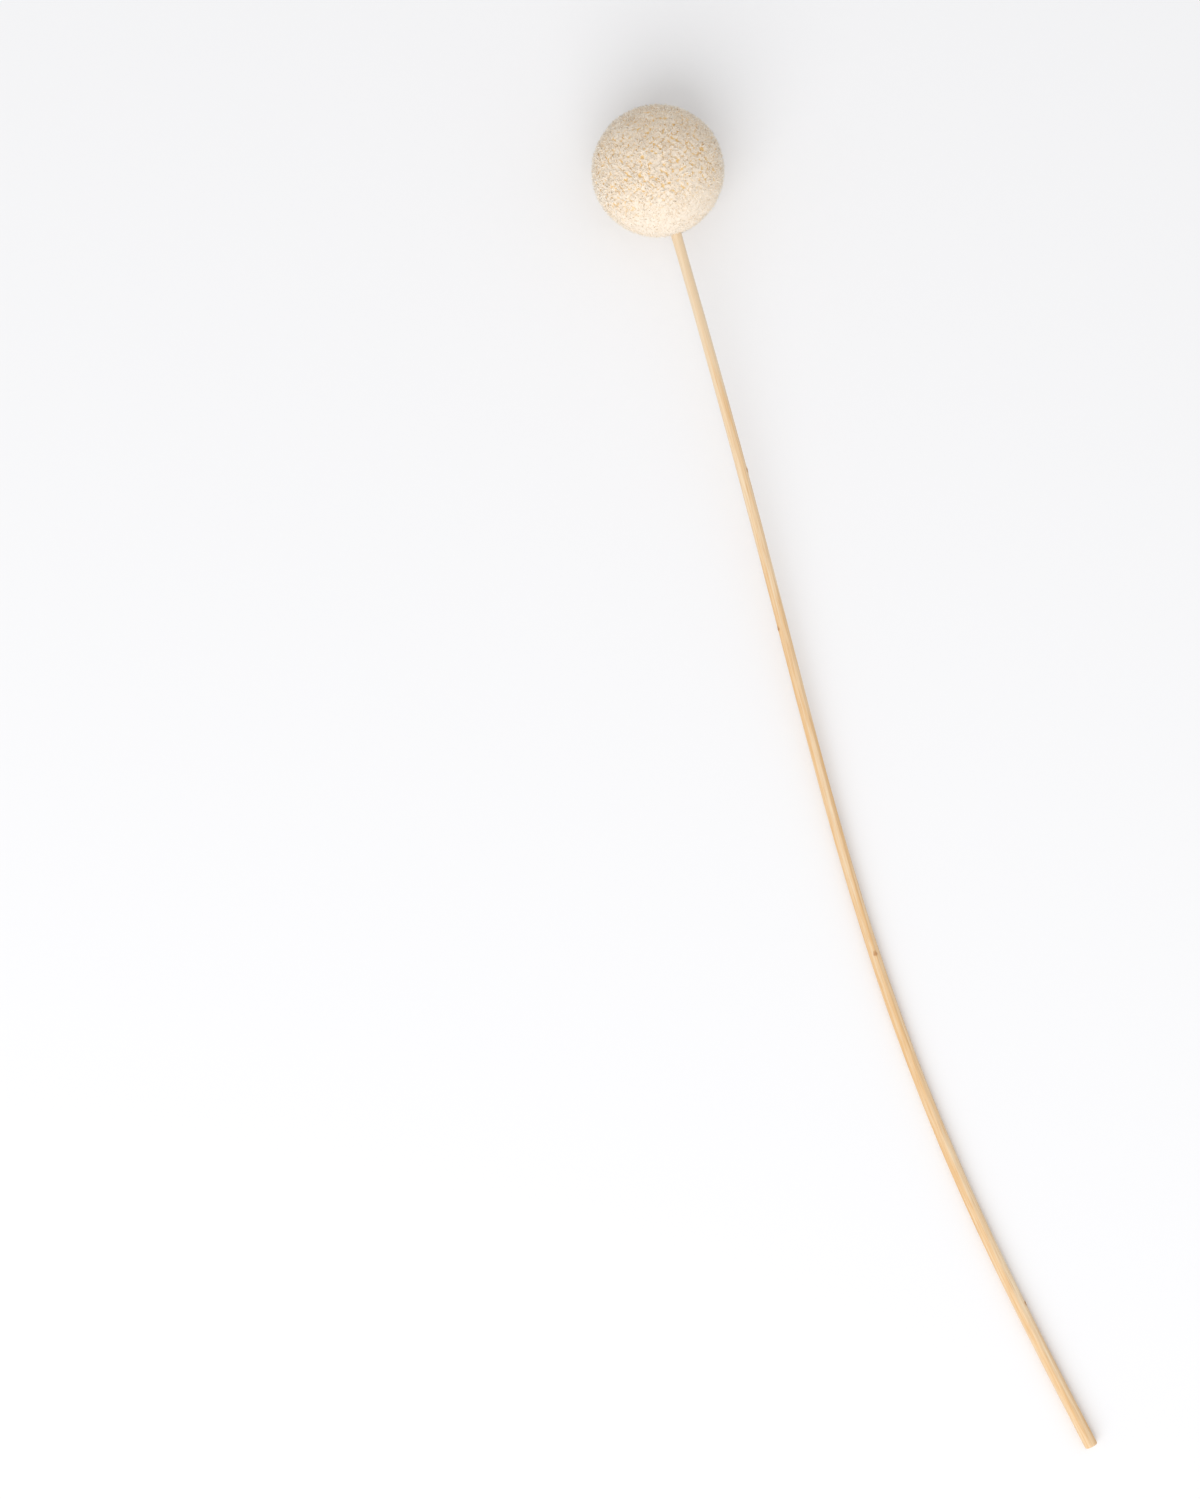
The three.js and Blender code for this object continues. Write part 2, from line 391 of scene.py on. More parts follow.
class FinishBench(NodeBench):
    """A bench on the nodes of a new material, which has one Principled shader."""

    def __init__(self, name: str, specular: float, sheen: float = 0.0) -> None:
        """Starts the material.

        Args:
            name: The material's name.
            specular: The shader's specular level, the same all over.
            sheen: The weight of its soft sheen, the same all over.
        """
        self.material = bpy.data.materials.new(name)
        self.material.use_nodes = True
        super().__init__(self.material.node_tree)
        self.shader = self.tree.nodes["Principled BSDF"]
        self.shader.inputs["Specular IOR Level"].default_value = specular
        self.shader.inputs["Sheen Weight"].default_value = sheen
        self.shader.inputs["Sheen Roughness"].default_value = SHEEN_ROUGHNESS
        self.place = self.wire("ShaderNodeTexCoord", output="Object")

    def attribute(self, name: str, output: str = "Fac") -> Wire:
        """Reads what the surface holds under a name, as a number or as a "Vector"."""
        return self.wire("ShaderNodeAttribute", {"attribute_name": name}, output=output)

    def mixed(self, share: Feed, first: Feed, second: Feed, blend: str = "MIX") -> Wire:
        """Mixes two colours, from all of the first at a share of 0 to all of the second at 1."""
        settings = {"data_type": "RGBA", "blend_type": blend}
        return self.wire("ShaderNodeMix", settings, {"Factor": share, "A": first, "B": second})

    def shaded(self, colour: Feed, shade: Wire) -> Wire:
        """Multiplies a colour by a number."""
        return self.mixed(1.0, colour, self.vector(shade, shade, shade), "MULTIPLY")

    def painted(
        self,
        colour: Wire,
        roughness: Feed,
        relief: Optional[Wire] = None,
        strength: float = 0.0,
        height: float = 0.0,
    ) -> bpy.types.Material:
        """Gives the shader what changes over the surface.

        Args:
            colour: The colour.
            roughness: The roughness.
            relief: A fine relief, from 0 to 1.
            strength: How much of the relief shows.
            height: How high the relief is where it is 1.

        Returns:
            The material.
        """
        self.feed(self.shader.inputs["Base Color"], colour)
        self.feed(self.shader.inputs["Roughness"], roughness)
        if relief is not None:
            inputs = {"Strength": strength, "Distance": height, "Height": relief}
            self.feed(self.shader.inputs["Normal"], self.wire("ShaderNodeBump", inputs=inputs))
        return self.material


@dataclass(frozen=True)
class PaperyFinish:
    """Bleached and papery: each small thing has a tone of its own, and a fine grain covers it."""

    specular: float = 0.25
    sheen: float = 0.15
    tone_spread: float = 0.05
    roughness: float = 0.7
    roughness_spread: float = 0.15
    grain_scale: float = 4200.0
    grain_strength: float = 0.35
    grain_height: float = 0.06 * MM

    def papered(self, bench: FinishBench, colour: Wire) -> bpy.types.Material:
        """Ends a material with the tones and the grain.

        Args:
            bench: The material's bench.
            colour: The colour before the tones.

        Returns:
            The material, which reads the "tone" attribute.
        """
        tone = bench.attribute("tone")
        shaded = bench.shaded(colour, 1 - tone * self.tone_spread)
        roughness = self.roughness + self.roughness_spread * tone
        grain = bench.noise(bench.place, self.grain_scale)
        return bench.painted(shaded, roughness, grain, self.grain_strength, self.grain_height)


@dataclass(frozen=True)
class FloretFinish(PaperyFinish):
    """Papery floret: ivory lobes over throats and tubes that go honey, partly their own colour and partly
    painted warm shade.
    """

    specular: float = 0.2
    tone_spread: float = 0.06
    roughness: float = 0.82
    roughness_spread: float = 0.1
    lobe: Colour = srgb(249, 236, 219)
    lobe_cool: Colour = srgb(247, 235, 221)
    # the throat and depth colours: honey that deepens into the throat, partly the floret's own and partly
    # painted warm shade
    throat: Colour = srgb(249, 222, 176)
    depth: Colour = srgb(238, 194, 124)
    patch_scale: float = 90.0

    def material(self) -> bpy.types.Material:
        """Makes the material.

        Returns:
            The material, which also reads the "lobe" attribute of the florets.
        """
        bench = FinishBench("bleached_florets", self.specular, self.sheen)
        lobe = bench.attribute("lobe")
        patches = bench.noise(bench.place, self.patch_scale, 1.0).eased(0.35, 0.68)
        ivory = bench.mixed(patches, self.lobe, self.lobe_cool)
        # painted warm shade over the floret's own honey: the colour goes honey into the throat, and deeper
        # honey at its bottom and the foot
        petal = bench.mixed(lobe.eased(0.35, 0.8), self.throat, ivory)
        return self.papered(bench, bench.mixed(lobe.eased(0.02, 0.45), self.depth, petal))


@dataclass(frozen=True)
class CurlFinish(PaperyFinish):
    """Curled petal tip: ivory along the crest, going honey where it sinks in: painted warm shade."""

    crest: Colour = srgb(249, 237, 221)
    # foot: the painted warm shade where the curl sinks into the bed
    foot: Colour = srgb(246, 217, 170)

    def material(self) -> bpy.types.Material:
        """Makes the material.

        Returns:
            The material, which also reads the "lobe" attribute of the curls.
        """
        bench = FinishBench("papery_curls", self.specular, self.sheen)
        # painted warm shade: honey towards the ends, where the curl sinks in
        crest = bench.attribute("lobe").eased(0.1, 0.6)
        return self.papered(bench, bench.mixed(crest, self.foot, self.crest))


@dataclass(frozen=True)
class DownFinish:
    """Close, silky down: ivory tufts, fine strands from their middles, and honey with painted warm shade in
    the pits.
    """

    crest: Colour = srgb(248, 234, 216)
    # slope and pit: the honey going down into the pits between the tufts, partly the down's own and partly
    # painted warm shade
    slope: Colour = srgb(247, 226, 192)
    pit: Colour = srgb(246, 208, 142)
    strand_count: float = 5.0
    sway_scale: float = 350.0
    speckle_scale: float = 2600.0

    def material(self) -> bpy.types.Material:
        """Makes the material.

        Returns:
            The material, which reads the "lobe" and "strand" attributes of the bed.
        """
        bench = FinishBench("silky_down", 0.2, sheen=0.2)
        lobe = bench.attribute("lobe")
        strand = bench.attribute("strand", "Vector")
        way = bench.scaled(bench.unit(strand), self.strand_count)
        ribs = bench.noise(bench.added(way, bench.scaled(bench.place, self.sway_scale)), detail=3.0)
        speckle = bench.noise(bench.place, self.speckle_scale)
        # into the pits the colour goes honey: painted warm shade over the down's own honey
        colour = bench.mixed(lobe.eased(0.1, 0.9), self.slope, self.crest)
        colour = bench.mixed((1 - lobe).eased(0.35, 0.8), colour, self.pit)
        # painted shade: darker in the grooves between the ribs and in the speckle's hollows, where the relief
        # below sinks in
        shade = 1 - ribs.eased(0.6, 0.3) * 0.06 - speckle.eased(0.6, 0.35) * 0.05
        relief = ribs * bench.vector_math("LENGTH", strand).at_most(1.0) + speckle * 0.4
        return bench.painted(bench.shaded(colour, shade), 0.8 + 0.15 * speckle, relief, 0.6, 0.2 * MM)


@dataclass(frozen=True)
class HairFinish:
    """Seed hairs and pointed bracts, nearly white at the tips and going honey towards the roots: painted
    shade deep in the head.
    """

    tip: Colour = srgb(252, 244, 231)
    # root: the painted shade deep in the head, where the hairs start
    root: Colour = srgb(249, 231, 205)
    dust_scale: float = 900.0

    def material(self, middle: Vector, deep: float, tip: float) -> bpy.types.Material:
        """Makes the material.

        Args:
            middle: The middle of the flower head.
            deep: The distance from the middle at which the painted shade is deepest.
            tip: The distance from the middle that the hairs reach.

        Returns:
            The material.
        """
        bench = FinishBench("seed_hairs", 0.3)
        out = bench.vector_math("DISTANCE", bench.place, tuple(middle))
        # painted shade: the hairs go honey the deeper they are in the head
        colour = bench.mixed(out.eased(deep, tip), self.root, self.tip)
        return bench.painted(colour, 0.6 + 0.2 * bench.noise(bench.place, self.dust_scale))


@dataclass(frozen=True)
class StalkFinish:
    """Dry, bleached straw: honey and cream streaks along the grain, pale at the neck, brown at leaf scars."""

    neck: Colour = srgb(228, 209, 181)
    cream: Colour = srgb(234, 212, 180)
    honey: Colour = srgb(222, 181, 129)
    deep: Colour = srgb(203, 153, 96)
    scar: Colour = srgb(176, 122, 70)
    pith: Colour = srgb(248, 236, 214)
    pith_pore: Colour = srgb(236, 216, 184)
    fibres: Streaks = (3.2, 50.0, 3.0)
    fine_fibres: Streaks = (11.0, 160.0, 2.0)
    patches: Streaks = (0.9, 14.0, 1.0)
    pore_scale: float = 9000.0
    pale_from: float = 75 * MM
    pale_to: float = 35 * MM

    def material(self) -> bpy.types.Material:
        """Makes the material.

        Returns:
            The material, which reads the "bark", "scar" and "cut" attributes of the stalk.
        """
        bench = FinishBench("dry_straw", 0.4)
        bark = bench.attribute("bark", "Vector")
        cut = bench.attribute("cut")
        fibres, fine, patches = (
            bench.streaks(bark, streaks) for streaks in (self.fibres, self.fine_fibres, self.patches)
        )
        pores = bench.noise(bench.place, self.pore_scale, 1.0).eased(0.4, 0.7)
        pale = bench.parts(bark)[2].eased(self.pale_from, self.pale_to)

        streak = (fibres * 0.45 + fine * 0.2 + patches * 0.6 - pale * 0.1).eased(0.42, 0.76)
        colour = bench.mixed(streak, self.cream, self.honey)
        colour = bench.mixed(fine.eased(0.52, 0.72) * 0.45, colour, self.deep)
        colour = bench.mixed(pale * 0.6, colour, self.neck)
        colour = bench.mixed(bench.attribute("scar").eased(0.2, 0.9) * 0.8, colour, self.scar)
        end_grain = bench.mixed(pores, self.pith, self.pith_pore)
        colour = bench.mixed(cut.eased(0.15, 0.5), colour, end_grain)
        relief = fine * 0.6 + fibres * 0.4 + pores * cut * 0.4
        return bench.painted(colour, 0.46 + 0.2 * fibres + 0.25 * cut, relief, 0.5, 0.12 * MM)


@dataclass(frozen=True)
class FloorFinish:
    """Plain white sweep."""

    white: Colour = (0.87, 0.87, 0.882)
    roughness: float = 0.9
    tint: float = 0.006

    def material(self) -> bpy.types.Material:
        """Makes the material.

        Returns:
            The material.
        """
        bench = FinishBench("white_sweep", 0.1)
        shade = 1 - bench.noise(bench.place, 3.0, 0.0) * self.tint
        return bench.painted(bench.shaded(self.white, shade), self.roughness)


# ---- The stalk ----


@dataclass
class Stalk:
    """The bare stalk, swept along its bowed line, with ribs, grain, leaf scars and a cut end."""

    reach: float = 377 * MM
    side_bow: float = 11.6 * MM
    side_bow_shift: float = 3.2 * MM
    touch_share: float = 0.68
    droop_power: float = 1.8
    head_height: float = 17.8 * MM
    neck_radius: float = 1.38 * MM
    foot_radius: float = 1.75 * MM
    neck_start: float = 13.0 * MM
    flare: float = 0.35 * MM
    flare_start: float = 15.2 * MM
    flare_length: float = 2.6 * MM
    rib_count: int = 8
    rib_depth: float = 0.03
    rib_twist: float = 0.9
    rib_waver: float = 0.08
    rib_waver_scale: float = 30.0
    grooves: Streaks = (4.5, 9.0, 2.0)
    groove_depth: float = 0.05 * MM
    scar_places: tuple[float, ...] = (86 * MM, 131 * MM, 187 * MM, 226 * MM, 284 * MM, 333 * MM)
    scar_height: float = 0.16 * MM
    scar_half_length: float = 1.1 * MM
    scar_half_angle: float = 0.6
    cut_length: float = 2.6 * MM
    cut_start: float = 0.45 * MM
    sides: int = 64
    stations: int = 440
    cut_stations: int = 26

    def neck_direction(self) -> Vector:
        """Works out the slope of the line where it starts, at the middle of the flower head.

        Returns:
            The direction in which the stalk leaves the head.
        """
        side = math.pi * (2 * self.side_bow_shift - self.side_bow)
        fall = (self.head_height - self.neck_radius) * self.droop_power / self.touch_share
        return Vector((self.reach, side, -fall)).normalized()

    def build(self) -> bpy.types.Object:
        """Makes the stalk and dresses it.

        Returns:
            The stalk, which stands for the node stem.
        """
        bench = ShapeBench("stalk_sweep")
        bench.end(self._barked(bench, self._tube(bench)), StalkFinish().material())
        return mounted(bench.make("bare_stalk"), "stem")

    def _line(self, bench: ShapeBench, along: Wire, radius: Wire) -> Wire:
        """The line's points, by rule.

        Args:
            bench: The tree's bench.
            along: How far each point is from the middle of the head.
            radius: The stalk's radius at each point.

        Returns:
            The points' positions.
        """
        share = along / self.reach
        side = (share * (2 * math.pi)).math("SINE") * self.side_bow_shift
        side = side - (share * math.pi).math("SINE") * self.side_bow
        drop = (1 - share / self.touch_share).at_least(0.0).math("POWER", self.droop_power)
        lying = radius * (1 + self.rib_depth)
        return bench.vector(along, side, lying + (self.head_height - lying) * drop)

    def _tube(self, bench: ShapeBench) -> Wire:
        """Sweeps a round tube along the line, which the bark is then raised from.

        Args:
            bench: The tree's bench.

        Returns:
            The tube. Each ring keeps its place "along" the line, its "width", "centre" and "heading".
        """
        stations = bench.input("Stations", "Int", self.stations)
        sides = bench.input("Sides", "Int", self.sides)
        neck = bench.input("Neck radius", "Float", self.neck_radius)
        foot = bench.input("Foot radius", "Float", self.foot_radius)

        # the points lie closer past the cut, where the sweep is turned into the cut face
        index = bench.shape("InputIndex")
        step = (self.reach - self.cut_start - self.neck_start) / stations
        along = self.neck_start + index.at_most(stations) * step
        along = along + (index - stations).at_least(0.0) * (self.cut_length / self.cut_stations)
        flare = ((self.flare_start - along).at_most(0.0) / self.flare_length).math("EXPONENT")
        radius = neck + (foot - neck) * (along / self.reach) + flare * self.flare
        line = bench.shape("MeshLine", Count=stations + self.cut_stations + 1)
        line = bench.shape("SetPosition", Geometry=line, Position=self._line(bench, along, radius))
        line = bench.keep(line, "along", along)
        line = bench.keep(line, "width", radius)
        line = bench.shape("MeshToCurve", Mesh=line)
        line = bench.keep(line, "centre", bench.shape("InputPosition"), "FLOAT_VECTOR")
        line = bench.keep(line, "heading", bench.shape("InputTangent"), "FLOAT_VECTOR")
        ring = bench.shape("CurvePrimitiveCircle", Resolution=sides, Radius=MM)
        return bench.shape("CurveToMesh", Curve=line, Profile_Curve=ring, Fill_Caps=True)

    def _barked(self, bench: ShapeBench, tube: Wire) -> Wire:
        """Raises the bark from the tube: ribs, fine grooves, leaf scars, the cut face and the pith.

        Args:
            bench: The tree's bench.
            tube: The tube.

        Returns:
            The stalk.
        """
        # each place's direction out from the line, and its angle round it
        centre, heading = (bench.kept(name, "FLOAT_VECTOR") for name in ("centre", "heading"))
        along, width = bench.kept("along"), bench.kept("width")
        outward = bench.unit(bench.vector_math("SUBTRACT", bench.shape("InputPosition"), centre))
        side = bench.unit(bench.vector_math("CROSS_PRODUCT", (0.0, 0.0, 1.0), heading))
        up = bench.vector_math("CROSS_PRODUCT", heading, side)
        across = bench.vector_math("DOT_PRODUCT", outward, side)
        above = bench.vector_math("DOT_PRODUCT", outward, up)
        angle = above.math("ARCTAN2", across) - along * (self.rib_twist / self.reach)

        bark = bench.vector(angle.math("COSINE"), angle.math("SINE"), along)
        grooves = bench.streaks(bark, self.grooves) - 0.5
        waver = bench.noise(bench.vector(along, 0.0, 0.0), self.rib_waver_scale, 1.0) - 0.5
        ribs = (angle * self.rib_count).math("COSINE") * self.rib_depth + waver * self.rib_waver
        scars = self._scars(along, angle)
        grown = width * (1 + ribs) + grooves * (2 * self.groove_depth) + scars * self.scar_height

        past = (along - (self.reach - self.cut_start)).at_least(0.0) / self.cut_length
        inward = bench.wire("ShaderNodeFloatCurve", {"points": CUT_WIDTHS}, {"Value": past})
        setback = bench.wire("ShaderNodeFloatCurve", {"points": CUT_PLACES}, {"Value": past})
        shift = (setback - 0.5) * self.cut_length - past * self.cut_length
        place = bench.added(centre, bench.scaled(outward, grown * inward), bench.scaled(heading, shift))
        # nothing goes under the surface that the stalk lies on
        place = bench.vector_math("MAXIMUM", place, (-1.0, -1.0, 0.0))
        stalk = bench.keep(tube, "bark", bark, "FLOAT_VECTOR")
        stalk = bench.keep(stalk, "scar", scars)
        stalk = bench.keep(stalk, "cut", past)
        stalk = bench.shape("SetPosition", Geometry=stalk, Position=place)
        for name in ("along", "width", "centre", "heading"):
            stalk = bench.shape("RemoveAttribute", Geometry=stalk, Name=name)
        return stalk

    def _scars(self, along: Wire, angle: Wire) -> Wire:
        """How raised each place is by the leaf scars.

        Args:
            along: How far each place is from the middle of the head.
            angle: Each place's angle round the stalk.

        Returns:
            The share of a scar's height, from 0 to 1.
        """
        raised: Union[Wire, float] = 0.0
        for number, middle in enumerate(self.scar_places):
            turn = (angle - number * GOLDEN_ANGLE).math("WRAP", math.pi, -math.pi)
            across = turn / self.scar_half_angle
            length = (along - middle) / self.scar_half_length
            raised = raised + (1 - across * across - length * length).at_least(0.0)
        return raised


# How the sweep past the cut becomes the cut face. Both go from the start of the worn edge to the middle of
# the pith: the width as a share of the stalk's, and the place along the stalk, with 0.5 at the start.
CUT_WIDTHS = (
    (0.0, 1.0), (0.06, 0.99), (0.12, 0.965), (0.18, 0.92), (0.24, 0.85), (0.46, 0.6),
    (0.58, 0.47), (0.64, 0.42), (0.72, 0.38), (0.84, 0.22), (1.0, 0.0),
)  # fmt: skip
CUT_PLACES = (
    (0.0, 0.5), (0.06, 0.555), (0.12, 0.6), (0.18, 0.635), (0.24, 0.655), (0.46, 0.665),
    (0.58, 0.65), (0.64, 0.59), (0.72, 0.5), (0.84, 0.46), (1.0, 0.45),
)  # fmt: skip


# ---- The flower head ----


def closed_form(
    name: str,
    rings: Sequence[Sequence[Spot]],
    first: Optional[Spot] = None,
    last: Optional[Spot] = None,
) -> bpy.types.Object:
    """Makes a small closed mesh from rings of points, each with how open it is, in millimetres.

    Args:
        name: The mesh's name.
        rings: The rings. Seen from the last one, each turns anticlockwise.
        first: The point that closes the first ring, which is closed by a flat face without it.
        last: The point that closes the last ring, in the same way.

    Returns:
        An object that isn't in the scene. Its "lobe" attribute is how open each point is.
    """
    sides = len(rings[0])
    top = sides * (len(rings) - 1)
    spots = [spot for ring in rings for spot in ring]
    faces = [
        (low + side, low + (side + 1) % sides, low + sides + (side + 1) % sides, low + sides + side)
        for side in range(sides)
        for low in range(0, top, sides)
    ]
    for pole, ring in ((first, range(sides - 1, -1, -1)), (last, range(top, top + sides))):
        if pole is None:
            faces.append(tuple(ring))
        else:
            faces += [(ring[side - 1], ring[side], len(spots)) for side in range(sides)]
            spots.append(pole)
    mesh = bpy.data.meshes.new(name)
    mesh.from_pydata([tuple(point * MM) for point, _ in spots], [], faces)
    openness = mesh.attributes.new("lobe", "FLOAT", "POINT")
    openness.data.foreach_set("value", [share for _, share in spots])
    return bpy.data.objects.new(name, mesh)


class FloretForm(Enum):
    """How a dried floret's lobes lie: how far out they swell, how high they rise, and the mouth's width."""

    BUTTON = (0.8, 0.3, 0.22)
    CUSHION = (0.9, 0.24, 0.27)
    CLOSED = (0.7, 0.38, 0.14)
    OPEN = (0.92, 0.2, 0.34)


@dataclass
class Floret:
    """One floret: five curled, puffy lobes round a small deep throat, with their own small differences."""

    form: FloretForm
    number: int
    lobes: int = 5
    foot: tuple[float, float] = (0.3, -0.8)
    shoulder_height: float = -0.16
    crest_share: float = 0.64
    notch_share: float = 0.74
    notch_drop: float = 0.12
    throat_depth: float = 0.5
    unevenness: float = 0.2

    def build(self) -> bpy.types.Object:
        """Makes the floret, with its mouth at the origin and its foot along -Z.

        Returns:
            The floret, which is open by 0 in the throat and by 1 along the crests of its lobes.
        """
        rings = self._rings(random.Random(f"{self.form.name}{self.number}"))
        foot = (Vector((0, 0, self.foot[1])), 0.0)
        throat = (Vector((0, 0, -self.throat_depth)), 0.0)
        return closed_form(f"floret_{self.form.name.lower()}_{self.number}", rings, foot, throat)

    def _rings(self, draw: random.Random) -> list[list[Spot]]:
        """The rings of points at the foot, round the shoulder, along the crests and round the mouth.

        Args:
            draw: The floret's own random draw.

        Returns:
            The rings. Lobes and notches take turns along each.
        """
        reach, rise, mouth = self.form.value
        slack = self.unevenness
        rings: list[list[Spot]] = [[] for _ in LOBE_SHARES]
        for column in range(2 * self.lobes):
            turn = math.pi * column / self.lobes
            if column % 2 == 0:
                out = reach * (1 + draw.uniform(-slack, slack))
                up = rise * (1 + draw.uniform(-slack, slack) * 1.5)
                sway = draw.uniform(-slack, slack)
                shoulder = (out, self.shoulder_height, sway)
                crest = (out * self.crest_share, up, sway / 2)
                rim = (mouth, up * 0.45, 0.0)
            else:
                out = reach * self.notch_share
                shoulder = (out, self.shoulder_height - 0.08, 0.0)
                crest = (out * self.crest_share, rise - self.notch_drop, 0.0)
                rim = (mouth * 1.1, rise * 0.25, 0.0)
            profile = ((*self.foot, 0.0), shoulder, crest, rim)
            for ring, share, (far, high, swing) in zip(rings, LOBE_SHARES, profile):
                point = Vector((far * math.cos(turn + swing), far * math.sin(turn + swing), high))
                ring.append((point, share))
        return rings


# how far each ring of a floret is from its throat, 0, to the crests of its lobes, 1
LOBE_SHARES = (0.2, 0.8, 1.0, 0.45)


@dataclass
class Strand:
    """One dry strand: three-sided, bent over and a little wavy, and slimmer towards its point."""

    bend: float
    wave: float
    length: float = 1.3
    width: float = 0.04
    taper: float = 0.35
    wave_turns: float = 5.0

    def build(self) -> bpy.types.Object:
        """Makes the strand, with its root at the origin and its tip towards +Z.

        Returns:
            The strand, which is open by 0 at the root and by 1 at the tip.
        """
        tip = Vector((self.bend, self.wave * math.sin(self.wave_turns), self.length))
        return closed_form("strand", [self._ring(share) for share in STRAND_RINGS], last=(tip, 1.0))

    def _ring(self, share: float) -> list[Spot]:
        """The three points round the strand at a share of its length.

        Args:
            share: The share, 0 at the root.

        Returns:
            The points, with how open they are.
        """
        lean = self.bend * share * share
        sway = self.wave * math.sin(self.wave_turns * share)
        half = self.width * (1 - self.taper * share)
        turns = [math.tau * side / 3 for side in range(3)]
        sides = [(lean + half * math.cos(turn), sway + half * math.sin(turn)) for turn in turns]
        return [(Vector((*side, self.length * share)), share) for side in sides]


# the shares of a strand's length at which it has rings of points
STRAND_RINGS = (0.0, 0.4, 0.75)


@dataclass
class Curl:
    """One curled, papery petal tip: a soft ridge that rises from the bed, bends sideways and sinks in."""

    bend: float
    length: float
    width: float = 0.4
    height: float = 0.28
    taper: float = 0.35
    rise_power: float = 0.7

    def build(self) -> bpy.types.Object:
        """Makes the curl, which lies along X with the middle of its crest over the origin.

        Returns:
            The curl, which is open by 0 at its ends and by 1 on its crest.
        """
        return closed_form("curl", [self._ring(share, shown) for share, shown in CURL_RINGS])

    def _ring(self, share: float, shown: float) -> list[Spot]:
        """The four points round the curl at a share of its length: under, right, over and left.

        Args:
            share: The share.
            shown: How much of the ring shows.

        Returns:
            The points, with how open they are.
        """
        along = (share - 0.5) * self.length
        arch = math.sin(math.pi * share)
        sway = self.bend * (arch - 0.5)
        rise = self.height * (arch**self.rise_power - 1)
        half = self.width / 2 * (self.taper + (1 - self.taper) * arch)
        return [
            (Vector((along, sway, rise - half)), 0.0),
            (Vector((along, sway + half, rise - half * 0.2)), 0.6 * shown),
            (Vector((along, sway, rise + half * 0.75)), shown),
            (Vector((along, sway - half, rise - half * 0.2)), 0.6 * shown),
        ]


# the shares of a curl's length at which it has rings of points, and how much of each ring shows
CURL_RINGS = ((0.0, 0.0), (0.2, 0.7), (0.5, 1.0), (0.8, 0.7), (1.0, 0.0))

# the seed of what all the members of a tuft share, and a direction from which they are turned about it
TUFT_SEED = 3
SIDEWAYS = (0.3, 0.9, 0.2)


@dataclass(frozen=True)
class Scatter:
    """How one kind of small thing stands in the tufts that cover the globe."""

    bands: tuple[str, ...]
    seed: int
    radius: float
    members: int = 3
    size: float = 1.0
    size_spread: float = 0.25
    reach: float = 0.8 * MM
    loose: float = 0.15
    splay: float = 0.1
    lean: float = 0.2
    comb: float = 0.2
    edge_drop: float = 0.1 * MM
    closed_drop: float = 0.0
    unevenness: float = 0.1 * MM


